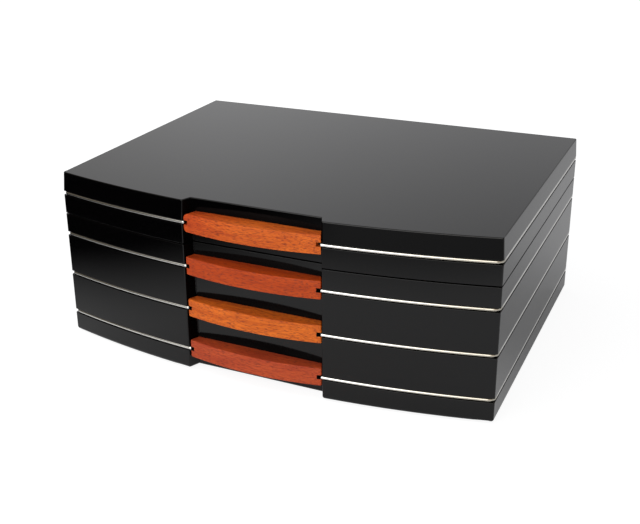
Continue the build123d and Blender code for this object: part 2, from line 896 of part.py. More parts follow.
with BuildPart() as humidifier_foam:
    with BuildSketch(Plane.XY.offset(humidifier_bottom + grille_thickness)):
        add(humidifier_plan(humidifier_wall))
    extrude(amount=humidifier_height - humidifier_wall - grille_thickness)
keep(humidifier_foam, "humidifier_foam")

with BuildPart() as humidifier_grille:
    with BuildSketch(Plane.XY.offset(humidifier_bottom)):
        add(humidifier_plan(humidifier_wall))
        with Locations((0, humidifier_y)):
            with GridLocations(grille_pitch, grille_slot_length, grille_slots, 1):
                SlotOverall(
                    grille_slot_length, grille_slot_width, rotation=90, mode=Mode.SUBTRACT
                )
    extrude(amount=grille_thickness)
keep(humidifier_grille, "humidifier_grille")
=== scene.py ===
import math

import bmesh
import bpy
from mathutils import Euler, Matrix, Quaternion, Vector


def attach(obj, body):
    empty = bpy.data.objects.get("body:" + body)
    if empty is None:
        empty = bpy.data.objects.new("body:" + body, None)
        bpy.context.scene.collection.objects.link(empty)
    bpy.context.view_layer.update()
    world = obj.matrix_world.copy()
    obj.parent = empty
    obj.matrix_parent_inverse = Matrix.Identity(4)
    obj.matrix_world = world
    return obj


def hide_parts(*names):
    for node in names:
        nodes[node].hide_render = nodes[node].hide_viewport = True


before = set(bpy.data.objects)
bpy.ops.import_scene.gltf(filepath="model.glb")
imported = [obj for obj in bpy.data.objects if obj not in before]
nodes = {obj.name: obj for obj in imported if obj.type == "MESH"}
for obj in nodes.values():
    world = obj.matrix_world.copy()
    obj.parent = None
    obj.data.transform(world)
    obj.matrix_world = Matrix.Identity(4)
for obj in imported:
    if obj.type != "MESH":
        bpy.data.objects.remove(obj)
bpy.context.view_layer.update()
scene = bpy.context.scene
scene.view_settings.view_transform = "Standard"

# Camera
# It looks down on the front from the right, near enough for the far side to narrow. The picture
# was cropped a little off the middle of the lens, and the camera leaned by about a degree.
camera_place = (0.3902, -0.8858, 0.4806)
camera_azimuth = math.radians(26.00)
camera_elevation = math.radians(21.30)
camera_lean = math.radians(-1.03)
camera_lens = 56.52
camera_shift = (0.05, -0.06)
camera_reach = 50
bpy.ops.object.camera_add(location=camera_place)
camera = bpy.context.object
camera.name = "camera"
camera.rotation_mode = "QUATERNION"
aimed = Euler((math.pi / 2 - camera_elevation, 0, camera_azimuth)).to_quaternion()
camera.rotation_quaternion = aimed @ Quaternion((0, 0, 1), camera_lean)
camera.data.lens = camera_lens
camera.data.shift_x, camera.data.shift_y = camera_shift
camera.data.clip_end = camera_reach
scene.camera = camera

# Table
# A white table that the camera sees as plain white with a soft shadow. In reflections it shows a
# painted pool of light that falls off towards the front, sooner towards the front left, with a dim
# patch further out on the right, and a painted glow that is weaker away from the front. From below
# it is clear, so that the underside can be seen.
table_size = 12.0
table_under_felt = 0.0002
table_white = (0.82, 0.82, 0.82, 1)
table_shadow_share = (0.22, 0.22, 0.22, 1)
table_glow = (0.89, 1.0)
glow_from_to = (0.35, 1.1)
front_way = (0.0, -1.0, 0.0)
left_way = (-1.0, 0.0, 0.0)
corner_way = (-0.826, -0.565, 0.0)
front_falls = (0.36, 0.58)
front_share_far_out = 0.33
corner_falls = (0.24, 0.50)
far_patch_share = 0.36
far_patch_rises = (0.56, 0.68)
far_patch_falls_left = (0.02, 0.22)
painted_reflected_glow = 0.30
painted_glow_at_side = 0.3
side_to_front = (-0.05, 0.15)
mix_colour_sockets = (6, 7)
mix_result_socket = 2


def mesh_finished(piece, finish):
    """Gives a piece its finish and leaves nothing selected."""
    piece.data.materials.append(finish)
    bpy.ops.object.select_all(action="DESELECT")
    return piece


def link(tree, source, target):
    """Joins two sockets."""
    tree.links.new(source, target)


def fill(tree, socket, value):
    """Puts a plain value in a socket, or joins another socket to it."""
    if isinstance(value, bpy.types.NodeSocket):
        link(tree, value, socket)
    else:
        socket.default_value = value


def new_node(tree, kind, **settings):
    """Adds a node. A setting is an attribute of the node, or else fills a socket."""
    node = tree.nodes.new(kind)
    for name, value in settings.items():
        if hasattr(node, name):
            setattr(node, name, value)
        else:
            fill(tree, node.inputs[name.replace("_", " ")], value)
    return node


def from_node(tree, kind, *values, result=0, **settings):
    """Adds a node, fills its first sockets in their order and gives one of its results."""
    node = new_node(tree, kind, **settings)
    for socket, value in zip(node.inputs, values):
        fill(tree, socket, value)
    return node.outputs[result]


def maths(tree, operation, *values):
    """The result of a sum, whose values are numbers or sockets."""
    return from_node(tree, "ShaderNodeMath", *values, operation=operation)


def along(tree, source, way):
    """How far a point or direction lies along a way."""
    return from_node(
        tree, "ShaderNodeVectorMath", source, way, operation="DOT_PRODUCT", result="Value"
    )


def falling(tree, source, low, high, first, last):
    """A smooth ramp from one value to another."""
    return from_node(
        tree, "ShaderNodeMapRange", source, low, high, first, last, interpolation_type="SMOOTHSTEP"
    )


def mixed_colour(tree, share, first, second, how="MIX"):
    """Two colours, each a plain one or a socket, mixed or multiplied by a share."""
    mixed = new_node(tree, "ShaderNodeMix", data_type="RGBA", blend_type=how, Factor=share)
    for socket, colour in zip(mix_colour_sockets, (first, second)):
        fill(tree, mixed.inputs[socket], colour)
    return mixed.outputs[mix_result_socket]


def seen_straight(tree, rays):
    """One for what the camera sees directly or through glass."""
    return maths(
        tree, "MAXIMUM", rays.outputs["Is Camera Ray"], rays.outputs["Is Transmission Ray"]
    )


bpy.ops.object.select_all(action="DESELECT")
bpy.ops.mesh.primitive_plane_add(size=table_size, location=(0, 0, -table_under_felt))
table = bpy.context.object
table.name = "table"
table_finish = bpy.data.materials.new("table_white")
table_finish.use_nodes = True
tree = table_finish.node_tree
tree.nodes.remove(tree.nodes["Principled BSDF"])
rays = new_node(tree, "ShaderNodeLightPath")
in_gloss = rays.outputs["Is Glossy Ray"]
on_table = from_node(tree, "ShaderNodeTexCoord", result="Object")
ahead = along(tree, on_table, front_way)
to_front = falling(tree, ahead, *front_falls, 1.0, front_share_far_out)
to_corner = falling(tree, along(tree, on_table, corner_way), *corner_falls, 1.0, 0.0)
far_out = falling(tree, ahead, *far_patch_rises, 0.0, far_patch_share)
not_left = falling(tree, along(tree, on_table, left_way), *far_patch_falls_left, 1.0, 0.0)
# A painted pool of light on the table, which only reflections see.
painted_near_pool = maths(tree, "MULTIPLY", to_front, to_corner)
painted_far_patch = maths(tree, "MULTIPLY", far_out, not_left)
painted_pool = maths(tree, "MAXIMUM", painted_near_pool, painted_far_patch)
table_colour_with_painted_pool = mixed_colour(tree, in_gloss, table_white, painted_pool, "MULTIPLY")
table_light = from_node(tree, "ShaderNodeBsdfDiffuse", Color=table_colour_with_painted_pool)
# A painted glow, added only where reflections see the table, weaker away from the front.
painted_glow_from_side = falling(tree, ahead, *side_to_front, painted_glow_at_side, 1.0)
painted_pool_in_gloss = maths(tree, "MULTIPLY", maths(tree, "MULTIPLY", painted_pool, in_gloss), painted_glow_from_side)
painted_glow_strength = maths(tree, "MULTIPLY", painted_pool_in_gloss, painted_reflected_glow)
painted_glow = from_node(tree, "ShaderNodeEmission", Strength=painted_glow_strength)
lit = from_node(tree, "ShaderNodeAddShader", table_light, painted_glow)
away = from_node(tree, "ShaderNodeVectorMath", on_table, operation="LENGTH", result="Value")
glow_strength = falling(tree, away, *glow_from_to, *table_glow)
glow = from_node(tree, "ShaderNodeEmission", Strength=glow_strength)
shadowed = from_node(tree, "ShaderNodeBsdfDiffuse", Color=table_shadow_share)
seen = from_node(tree, "ShaderNodeAddShader", shadowed, glow)
top = from_node(tree, "ShaderNodeMixShader", seen_straight(tree, rays), lit, seen)
below = from_node(tree, "ShaderNodeNewGeometry", result="Backfacing")
clear = from_node(tree, "ShaderNodeBsdfTransparent")
one_way = from_node(tree, "ShaderNodeMixShader", below, top, clear)
link(tree, one_way, tree.nodes["Material Output"].inputs["Surface"])
mesh_finished(table, table_finish)

# Room and lamps
# White behind and at the right, less bright towards the right of the back, and dim at the front
# left. A very large soft lamp stands in front, and a smaller one at the left that no gloss shows.
room_seen = (1, 1, 1, 1)
room_for_matt = (0.44, 0.44, 0.45, 1)
back_right_of_room = (0.66, 0.66, 0.67, 1)
back_left_of_room = (0.90, 0.90, 0.91, 1)
front_of_room = (1.25, 1.22, 1.15, 1)
front_right_of_room = (0.85, 0.76, 0.66, 1)
dim_corner = (0.15, 0.13, 0.10, 1)
right_way = (1.0, 0.0, 0.0)
left_rises = (0.15, 0.52)
dim_rises = (0.45, 0.74)
dim_at_back = 0.4
back_to_front = (-0.7, 0.0)
front_rises = (-0.1, 0.6)
right_rises = (-0.15, 0.30)
world = bpy.data.worlds.new("room")
scene.world = world
world.use_nodes = True
tree = world.node_tree
towards = from_node(tree, "ShaderNodeTexCoord", result="Generated")
to_left = along(tree, towards, left_way)
to_front = along(tree, towards, front_way)
leftness = falling(tree, to_left, *left_rises, 0.0, 1.0)
rightness = falling(tree, along(tree, towards, right_way), *right_rises, 0.0, 1.0)
frontness = falling(tree, to_front, *front_rises, 0.0, 1.0)
dim_side = falling(tree, to_left, *dim_rises, 0.0, 1.0)
dim_front = falling(tree, to_front, *back_to_front, dim_at_back, 1.0)
back_room = mixed_colour(tree, leftness, back_right_of_room, back_left_of_room)
front_room = mixed_colour(tree, rightness, front_of_room, front_right_of_room)
lit_room = mixed_colour(tree, frontness, back_room, front_room)
dimness = maths(tree, "MULTIPLY", dim_side, dim_front)
gloss_room = mixed_colour(tree, dimness, lit_room, dim_corner)
rays = new_node(tree, "ShaderNodeLightPath")
room = mixed_colour(tree, rays.outputs["Is Glossy Ray"], room_for_matt, gloss_room)
room = mixed_colour(tree, seen_straight(tree, rays), room, room_seen)
link(tree, room, tree.nodes["Background"].inputs["Color"])

lamp_aim = Vector((0, 0, 0.08))
lamps = (  # name, place, size, power, seen in gloss
    ("lamp_front", (-0.10, -2.10, 0.95), 2.0, 30.0, True),
    ("lamp_left", (-1.30, -0.50, 1.50), 1.2, 12.0, False),
)
for name, spot, size, power, seen_in_gloss in lamps:
    turn = (lamp_aim - Vector(spot)).to_track_quat("-Z", "Y")
    bpy.ops.object.light_add(type="AREA", location=spot, rotation=turn.to_euler())
    lamp = bpy.context.object
    lamp.name = name
    lamp.data.shape = "SQUARE"
    lamp.data.size = size
    lamp.data.energy = power
    lamp.visible_glossy = seen_in_gloss

# Lacquered boards of the case
# Four boards glued at mitred corners round a base, sprayed black and polished as one. The gloss
# has the faint waviness of a sprayed coat, and a haze of polishing marks that shows in its shine.
lacquer_black = (0.0004, 0.0004, 0.0005, 1)
lacquer_black_thin = (0.0012, 0.0011, 0.0012, 1)
lacquer_gloss_to_haze = (0.06, 0.12)
lacquer_index = 1.35
lacquer_wave = 0.000004


def new_group(name, taken, given):
    """A node group with named sockets, and its two ends. A float is a socket's usual value."""
    group = bpy.data.node_groups.new(name, "ShaderNodeTree")
    for side, sockets in (("INPUT", taken), ("OUTPUT", given)):
        for socket, kind in sockets.items():
            number = isinstance(kind, float)
            socket_type = "NodeSocket" + ("Float" if number else kind)
            made = group.interface.new_socket(socket, in_out=side, socket_type=socket_type)
            if number:
                made.default_value = kind
    ends = new_node(group, "NodeGroupInput").outputs, new_node(group, "NodeGroupOutput").inputs
    return group, *ends


def surface_haze_group():
    """Variation for any surface: a slow cloud mask, a fine mask and a wavy height."""
    noises = {"Cloud": (9.0, 4.0), "Fine": (900.0, 2.0), "Wave": (260.0, 1.0)}
    group, taken, given = new_group(
        "polished_surface",
        {mask + " Scale": scale for mask, (scale, _) in noises.items()},
        dict.fromkeys(noises, "Float"),
    )
    place = from_node(group, "ShaderNodeTexCoord", result="Object")
    for mask, (scale, detail) in noises.items():
        noise = new_node(
            group,
            "ShaderNodeTexNoise",
            Vector=place,
            Scale=taken[mask + " Scale"],
            Detail=detail,
        )
        link(group, noise.outputs["Fac"], given[mask])
    return group


def use_group(tree, group, **values):
    """Places a node group with its own values."""
    node = tree.nodes.new("ShaderNodeGroup")
    node.node_tree = group
    for name, value in values.items():
        fill(tree, node.inputs[name.replace("_", " ")], value)
    return node


def new_finish(name, **settings):
    """A material with its Principled shader, whose plain values are set on its own sockets."""
    finish = bpy.data.materials.new(name)
    finish.use_nodes = True
    shader = finish.node_tree.nodes["Principled BSDF"]
    for socket, value in settings.items():
        shader.inputs[socket.replace("_", " ")].default_value = value
    return finish, finish.node_tree, shader


def vary(tree, mask, target, low, high):
    """Drives a value of the shader between two ends with a mask."""
    link(tree, from_node(tree, "ShaderNodeMapRange", Value=mask, To_Min=low, To_Max=high), target)


def raise_surface(tree, height, shader, distance, strength=1.0):
    """Bump from a height mask, with its real depth in metres."""
    bump = new_node(tree, "ShaderNodeBump", Strength=strength, Distance=distance, Height=height)
    link(tree, bump.outputs["Normal"], shader.inputs["Normal"])


def hazed_finish(name, scales, colours=None, roughness=None, wave=None, **settings):
    """A finish varied by the polished surface. Colours and roughness are a mask and two ends."""
    finish, tree, shader = new_finish(name, **settings)
    scales = {mask + "_Scale": scale for mask, scale in scales.items()}
    haze = use_group(tree, polished_surface, **scales).outputs
    if colours:
        mask, first, second = colours
        link(tree, mixed_colour(tree, haze[mask], first, second), shader.inputs["Base Color"])
    if roughness:
        mask, low, high = roughness
        vary(tree, haze[mask], shader.inputs["Roughness"], low, high)
    if wave:
        raise_surface(tree, haze["Wave"], shader, wave)
    return finish


def coat(finish, *names):
    """Gives solids of the frame their finish."""
    for name in names:
        nodes[name].material_slots[0].material = finish


polished_surface = surface_haze_group()
lacquer = hazed_finish(
    "black_lacquer",
    {"Cloud": 7.0, "Wave": 240.0},
    colours=("Cloud", lacquer_black, lacquer_black_thin),
    roughness=("Cloud", *lacquer_gloss_to_haze),
    wave=lacquer_wave,
    IOR=lacquer_index,
)
coat(lacquer, "case_front", "case_left", "case_right", "case_back", "case_base")

# Felt under the base
# A sheet of black wool felt, cut to the box and glued on under the base, so that it slides
# without a scratch.
felt_dark = (0.012, 0.012, 0.013, 1)
felt_light = (0.040, 0.040, 0.042, 1)
felt_nap = 0.0004
felt = hazed_finish(
    "black_felt",
    {"Fine": 1600.0, "Wave": 700.0},
    colours=("Fine", felt_dark, felt_light),
    wave=felt_nap,
    Roughness=0.95,
    Sheen_Weight=0.35,
    Sheen_Roughness=0.6,
)
coat(felt, "base_felt")

# Cedar lining and ledges
# Bare sanded cedar boards, glued inside the walls and on the base, with a ledge at the front and
# at the back that carries the trays. The grain runs along each board.
cedar_pale = (0.50, 0.265, 0.135, 1)
cedar_dark = (0.33, 0.145, 0.065, 1)
cedar_pore = (0.16, 0.060, 0.028, 1)
cedar_roughness = (0.62, 0.74)
cedar_raised_grain = 0.00012
cedar_raised_share = 0.6
band_edges = (0.32, 0.68)
band_weight = 0.75
pore_full = 0.75
noise_middle = 0.5
along_x = (0, 0, 0)
along_y = (0, 0, math.pi / 2)


def wood_group():
    """Grain that runs along X: growth bands, fine fibres and short open pores."""
    group, taken, given = new_group(
        "wood_grain",
        {
            "Vector": "Vector",
            "Pale": "Color",
            "Dark": "Color",
            "Pore": "Color",
            "Band Scale": 55.0,
            "Band Stretch": 0.06,
            "Fibre Scale": 1500.0,
            "Fibre Stretch": 0.02,
            "Fibre Strength": 0.45,
            "Pore Scale": 1700.0,
            "Pore Stretch": 0.12,
            "Pore From": 0.58,
            "Pore Depth": 0.8,
        },
        {"Color": "Color", "Height": "Float", "Band": "Float"},
    )

    def noise_along_x(part, detail, distortion=0.0):
        """The noise of one part of the grain, drawn out along X."""
        stretch = from_node(group, "ShaderNodeCombineXYZ", taken[part + " Stretch"], 1.0, 1.0)
        drawn = from_node(
            group, "ShaderNodeVectorMath", taken["Vector"], stretch, operation="MULTIPLY"
        )
        return from_node(
            group,
            "ShaderNodeTexNoise",
            result="Fac",
            Vector=drawn,
            Scale=taken[part + " Scale"],
            Detail=detail,
            Distortion=distortion,
        )

    band = noise_along_x("Band", detail=3.0, distortion=0.6)
    band = falling(group, band, *band_edges, 0.0, 1.0)
    fibre = noise_along_x("Fibre", detail=2.0)
    pore = noise_along_x("Pore", detail=1.0)
    pore = falling(group, pore, taken["Pore From"], pore_full, 0.0, 1.0)
    band_tone = maths(group, "MULTIPLY_ADD", band, band_weight, (1 - band_weight) / 2)
    streak = maths(group, "SUBTRACT", fibre, noise_middle)
    tone = maths(group, "MULTIPLY_ADD", streak, taken["Fibre Strength"], band_tone)
    wood = mixed_colour(group, tone, taken["Pale"], taken["Dark"])
    dark_pore = maths(group, "MULTIPLY", pore, taken["Pore Depth"])
    link(group, mixed_colour(group, dark_pore, wood, taken["Pore"]), given["Color"])
    link(group, maths(group, "SUBTRACT", fibre, pore), given["Height"])
    link(group, band, given["Band"])
    return group


def grain_vector(tree, turn, shift):
    """Object coordinates with X along the board, moved to another part of the tree."""
    place = from_node(tree, "ShaderNodeTexCoord", result="Object")
    return from_node(
        tree,
        "ShaderNodeMapping",
        vector_type="TEXTURE",
        Vector=place,
        Rotation=turn,
        Location=shift,
    )


def cedar_grain(tree, turn, shift, warmth):
    """Cedar grain along one axis. Warmth makes a board redder than its neighbours."""
    return use_group(
        tree,
        wood_grain,
        Vector=grain_vector(tree, turn, shift),
        Pale=[pale + warmth * (dark - pale) for pale, dark in zip(cedar_pale, cedar_dark)],
        Dark=cedar_dark,
        Pore=cedar_pore,
        Band_Scale=42.0,
        Pore_Depth=0.45,
    )


def cedar_finish(name, turn, shift, warmth=0.0):
    """Bare cedar with its grain along one axis."""
    finish, tree, shader = new_finish(name, Specular_IOR_Level=0.35)
    grain = cedar_grain(tree, turn, shift, warmth)
    link(tree, grain.outputs["Color"], shader.inputs["Base Color"])
    vary(tree, grain.outputs["Band"], shader.inputs["Roughness"], *cedar_roughness)
    raise_surface(tree, grain.outputs["Height"], shader, cedar_raised_grain, cedar_raised_share)
    return finish


wood_grain = wood_group()
cedar_long = cedar_finish("cedar_along_the_front", along_x, shift=(0.3, 0.1, 0.2))
cedar_cross = cedar_finish("cedar_along_the_sides", along_y, shift=(0.7, 0.4, 0.1), warmth=0.15)
cedar_floor = cedar_finish("cedar_floor", along_x, shift=(1.3, 0.9, 0.5), warmth=0.25)
coat(cedar_long, "lining_front", "lining_back", "tray_ledge_front", "tray_ledge_back")
coat(cedar_cross, "lining_left", "lining_right", "well_divider_left", "well_divider_right")
coat(cedar_floor, "lining_floor")

# Trays and their dividers
# Each tray is a frame of four thin cedar boards, finger-jointed at the corners, round a slotted
# floor. A scoop in the front and back boards lets the fingers lift it, and a loose divider
# crosses it.
tray_middle_x = 0.09975
tray_middle_y = 0.00925
tray_width = 0.1985
tray_length = 0.271
tray_foot = 0.0775
tray_height = 0.048
tray_wall = 0.006
finger_height = 0.008
scoop_radius = 0.012
scoop_sides = 64
board_easing = 0.0004
board_easing_steps = 2
sharp_board_edge = 0.7
board_smooth_under = 30
touching = 0.00001


def select_only(piece):
    """Selects one piece, which is then the active one."""
    bpy.ops.object.select_all(action="DESELECT")
    piece.select_set(True)
    bpy.context.view_layer.objects.active = piece


def box_between(low, high):
    """A plain box between two corners."""
    bpy.ops.object.select_all(action="DESELECT")
    middle = [(a + b) / 2 for a, b in zip(low, high)]
    bpy.ops.mesh.primitive_cube_add(size=1, location=middle)
    box = bpy.context.object
    box.scale = [b - a for a, b in zip(low, high)]
    bpy.ops.object.transform_apply(location=True, scale=True)
    return box


def pick_faces(piece, wanted):
    """Selects the faces of a piece, in edit mode, whose middle passes a test."""
    bpy.ops.mesh.select_mode(type="FACE")
    bpy.ops.mesh.select_all(action="DESELECT")
    shape = bmesh.from_edit_mesh(piece.data)
    for face in shape.faces:
        if wanted(face.calc_center_median()):
            face.select_set(True)
    bmesh.update_edit_mesh(piece.data)


def leave_edit_mode():
    """Turns all faces of the piece outwards and leaves edit mode."""
    bpy.ops.mesh.select_all(action="SELECT")
    bpy.ops.mesh.normals_make_consistent(inside=False)
    bpy.ops.object.mode_set(mode="OBJECT")


def apply_modifier(piece, kind, **settings):
    """Adds a modifier to a piece and applies it."""
    modifier = piece.modifiers.new(kind.lower(), kind)
    for name, value in settings.items():
        setattr(modifier, name, value)
    select_only(piece)
    bpy.ops.object.modifier_apply(modifier=modifier.name)


def cut_with(piece, operation, cutter):
    """Cuts one shape with another, and removes the cutter."""
    apply_modifier(piece, "BOOLEAN", operation=operation, object=cutter, solver="EXACT")
    bpy.data.objects.remove(cutter, do_unlink=True)


def ease_edges(piece, width, steps, sharp):
    """Rounds the edges of a piece that are sharper than an angle."""
    apply_modifier(
        piece, "BEVEL", width=width, segments=steps, limit_method="ANGLE", angle_limit=sharp
    )


def smooth_shading(degrees):
    """Smooths the selected piece across edges that turn by less than an angle."""
    bpy.ops.object.shade_smooth_by_angle(angle=math.radians(degrees))


def put_copy(piece, name, place, turn):
    """A copy of a piece with its own mesh, turned and put in its place."""
    copy = piece.copy()
    copy.data = piece.data.copy()
    copy.name = name
    scene.collection.objects.link(copy)
    select_only(copy)
    copy.rotation_euler = turn
    copy.location = place
    bpy.ops.object.transform_apply(location=True, rotation=True, scale=True)
    return copy


def fingered_board(inner_length, first_finger):
    """A board along X, with a finger on every second band of each end."""
    board = box_between(
        (-inner_length / 2, -tray_wall / 2, 0), (inner_length / 2, tray_wall / 2, tray_height)
    )
    bpy.ops.object.mode_set(mode="EDIT")
    for step in range(1, round(tray_height / finger_height)):
        bpy.ops.mesh.select_all(action="SELECT")
        bpy.ops.mesh.bisect(plane_co=(0, 0, step * finger_height), plane_no=(0, 0, 1))
    for way in (-1, 1):
        pick_faces(
            board,
            lambda middle: way * middle.x > inner_length / 2 - touching
            and int(middle.z / finger_height) % 2 == first_finger,
        )
        bpy.ops.mesh.extrude_region_move(
            TRANSFORM_OT_translate={"value": (way * tray_wall, 0, 0)}
        )
    leave_edit_mode()
    return board


end_board = fingered_board(tray_width - 2 * tray_wall, 0)
bpy.ops.object.select_all(action="DESELECT")
bpy.ops.mesh.primitive_cylinder_add(
    vertices=scoop_sides,
    radius=scoop_radius,
    depth=4 * tray_wall,
    location=(0, 0, tray_height),
    rotation=(math.pi / 2, 0, 0),
)
cut_with(end_board, "DIFFERENCE", bpy.context.object)
long_board = fingered_board(tray_length - 2 * tray_wall, 1)
for board in (end_board, long_board):
    ease_edges(board, board_easing, board_easing_steps, sharp_board_edge)
    smooth_shading(board_smooth_under)
to_end = (tray_length - tray_wall) / 2
to_side = (tray_width - tray_wall) / 2
for side, middle_x, left_board, right_board in (
    ("left", -tray_middle_x, "outer", "inner"),
    ("right", tray_middle_x, "inner", "outer"),
):
    for board_name, board, finish, step_x, step_y, turn in (
        ("front", end_board, cedar_long, 0, -to_end, 0),
        ("back", end_board, cedar_long, 0, to_end, math.pi),
        (left_board, long_board, cedar_cross, -to_side, 0, math.pi / 2),
        (right_board, long_board, cedar_cross, to_side, 0, -math.pi / 2),
    ):
        name = "tray_" + side + "_" + board_name + "_board"
        place = (middle_x + step_x, tray_middle_y + step_y, tray_foot)
        piece = mesh_finished(put_copy(board, name, place, (0, 0, turn)), finish)
        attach(piece, "case")
        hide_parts("tray_frame_" + side)
for pattern in (end_board, long_board):
    bpy.data.objects.remove(pattern, do_unlink=True)
coat(cedar_long, "tray_divider_left", "tray_divider_right")
coat(cedar_floor, "tray_floor_left", "tray_floor_right")

# Bar pulls
# Oiled orange-red hardwood with short dark pores, screwed on from inside. Two are cut from paler
# boards and two from redder ones, with the grain along the bar. Their colour is darkened where the
# black lacquer reflects them, a painted shade. The lid's pull has a rounder left end than the
# others.
tier_levels = {"lower": 0.023, "middle": 0.066, "upper": 0.109, "lid": 0.152}
pull_woods = {  # pale and dark colour, how much redder the left end is, place in the tree
    "lid": ((0.70, 0.142, 0.012, 1), (0.50, 0.080, 0.008, 1), 1.0, (0.2, 0.0, 0.0)),
    "upper": ((0.50, 0.064, 0.005, 1), (0.38, 0.042, 0.004, 1), 0.10, (1.1, 0.3, 0.2)),
    "middle": ((0.72, 0.158, 0.013, 1), (0.52, 0.095, 0.008, 1), 0.25, (2.3, 0.6, 0.5)),
    "lower": ((0.49, 0.074, 0.018, 1), (0.37, 0.046, 0.014, 1), 0.10, (3.1, 0.9, 0.8)),
}
redder_left = (0.80, 0.52, 0.45, 1)
left_from_to = (-0.070, 0.005)
painted_shade_in_reflections = (0.12, 0.10, 0.10, 1)
pull_pore = (0.17, 0.022, 0.008, 1)
pull_roughness = (0.50, 0.62)
pull_raised_grain = 0.00015
pull_raised_share = 0.5
notch_black = (0.002, 0.002, 0.002, 1)
notch_start = 0.0638
notch_half_height = 0.0021
bar_height = 0.0178
bar_back = -0.15325
bar_back_half = 0.0647
bar_end_normal = (0.9396, 0.3421)
bar_end_tolerance = 0.00002
bow_radius = 0.32078
bow_centre_y = 0.15108
bow_sides = 1440
left_end_top_round = 0.0055
left_end_foot_round = 0.003
left_end_steps = 8
bar_easing = 0.0011
bar_easing_steps = 4
sharp_bar_edge = 0.5
bar_smooth_under = 35
merged_within = 0.000001
notch_back = -0.15779
beyond_bar = 0.03


def in_notch(tree, on_pull, level):
    """One inside the notches at the ends of a pull, where the colour is set to black."""
    parts = new_node(tree, "ShaderNodeSeparateXYZ", Vector=on_pull).outputs
    outward = maths(tree, "ABSOLUTE", parts["X"])
    past_start = maths(tree, "GREATER_THAN", outward, notch_start)
    level_with_rod = maths(tree, "COMPARE", parts["Z"], level, notch_half_height)
    return maths(tree, "MULTIPLY", past_start, level_with_rod)


def pick_edges(piece, wanted):
    """Selects the edges of a piece, in edit mode, whose two ends pass a test."""
    bpy.ops.mesh.select_mode(type="EDGE")
    bpy.ops.mesh.select_all(action="DESELECT")
    shape = bmesh.from_edit_mesh(piece.data)
    for edge in shape.edges:
        if all(wanted(vert.co) for vert in edge.verts):
            edge.select_set(True)
    bmesh.update_edit_mesh(piece.data)


for tier, (pale, dark, left_share, shift) in pull_woods.items():
    finish, tree, shader = new_finish("hardwood_" + tier + "_pull", Specular_IOR_Level=0.22)
    grain = use_group(
        tree,
        wood_grain,
        Vector=grain_vector(tree, along_x, shift),
        Pale=pale,
        Dark=dark,
        Pore=pull_pore,
        Band_Scale=85.0,
        Band_Stretch=0.16,
        Fibre_Scale=620.0,
        Fibre_Stretch=0.07,
        Fibre_Strength=2.2,
        Pore_Scale=1500.0,
        Pore_Stretch=0.14,
        Pore_From=0.48,
        Pore_Depth=0.85,
    )
    on_pull = from_node(tree, "ShaderNodeTexCoord", result="Object")
    rays = new_node(tree, "ShaderNodeLightPath")
    leftness = falling(tree, along(tree, on_pull, right_way), *left_from_to, left_share, 0.0)
    wood = mixed_colour(tree, leftness, grain.outputs["Color"], redder_left, "MULTIPLY")
    # Painted shade: in reflections the wood is darkened.
    wood = mixed_colour(tree, rays.outputs["Is Glossy Ray"], wood, painted_shade_in_reflections, "MULTIPLY")
    wood = mixed_colour(tree, in_notch(tree, on_pull, tier_levels[tier]), wood, notch_black)
    link(tree, wood, shader.inputs["Base Color"])
    vary(tree, grain.outputs["Band"], shader.inputs["Roughness"], *pull_roughness)
    raise_surface(tree, grain.outputs["Height"], shader, pull_raised_grain, pull_raised_share)
    coat(finish, tier + "_pull")

bar = box_between(
    (-bar_back_half - beyond_bar, bar_back - beyond_bar, -bar_height / 2),
    (bar_back_half + beyond_bar, bar_back, bar_height / 2),
)
bar.name = "eased_lid_pull"
bpy.ops.object.mode_set(mode="EDIT")
for way in (-1, 1):
    bpy.ops.mesh.select_all(action="SELECT")
    bpy.ops.mesh.bisect(
        plane_co=(way * bar_back_half, bar_back, 0),
        plane_no=(way * bar_end_normal[0], bar_end_normal[1], 0),
        use_fill=True,
        clear_outer=True,
        threshold=merged_within,
    )
for way, rounding in ((1, left_end_top_round), (-1, left_end_foot_round)):
    pick_edges(
        bar,
        lambda corner: way * corner.z > bar_height / 2 - touching
        and abs(
            (corner.y - bar_back) * bar_end_normal[1]
            - (corner.x + bar_back_half) * bar_end_normal[0]
        ) < bar_end_tolerance,
    )
    bpy.ops.mesh.bevel(offset=rounding, segments=left_end_steps, affect="EDGES")
leave_edit_mode()
bpy.ops.mesh.primitive_cylinder_add(
    vertices=bow_sides, radius=bow_radius, depth=2 * bar_height, location=(0, bow_centre_y, 0)
)
cut_with(bar, "INTERSECT", bpy.context.object)
ease_edges(bar, bar_easing, bar_easing_steps, sharp_bar_edge)
for way in (-1, 1):
    far, near = way * (bar_back_half + beyond_bar), way * notch_start
    notch = box_between(
        (min(far, near), notch_back - beyond_bar, -notch_half_height),
        (max(far, near), notch_back, notch_half_height),
    )
    cut_with(bar, "DIFFERENCE", notch)
smooth_shading(bar_smooth_under)
bar.location = (0, 0, tier_levels["lid"])
bpy.ops.object.transform_apply(location=True)
mesh_finished(bar, nodes["lid_pull"].material_slots[0].material)
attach(bar, "lid")
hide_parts("lid_pull")

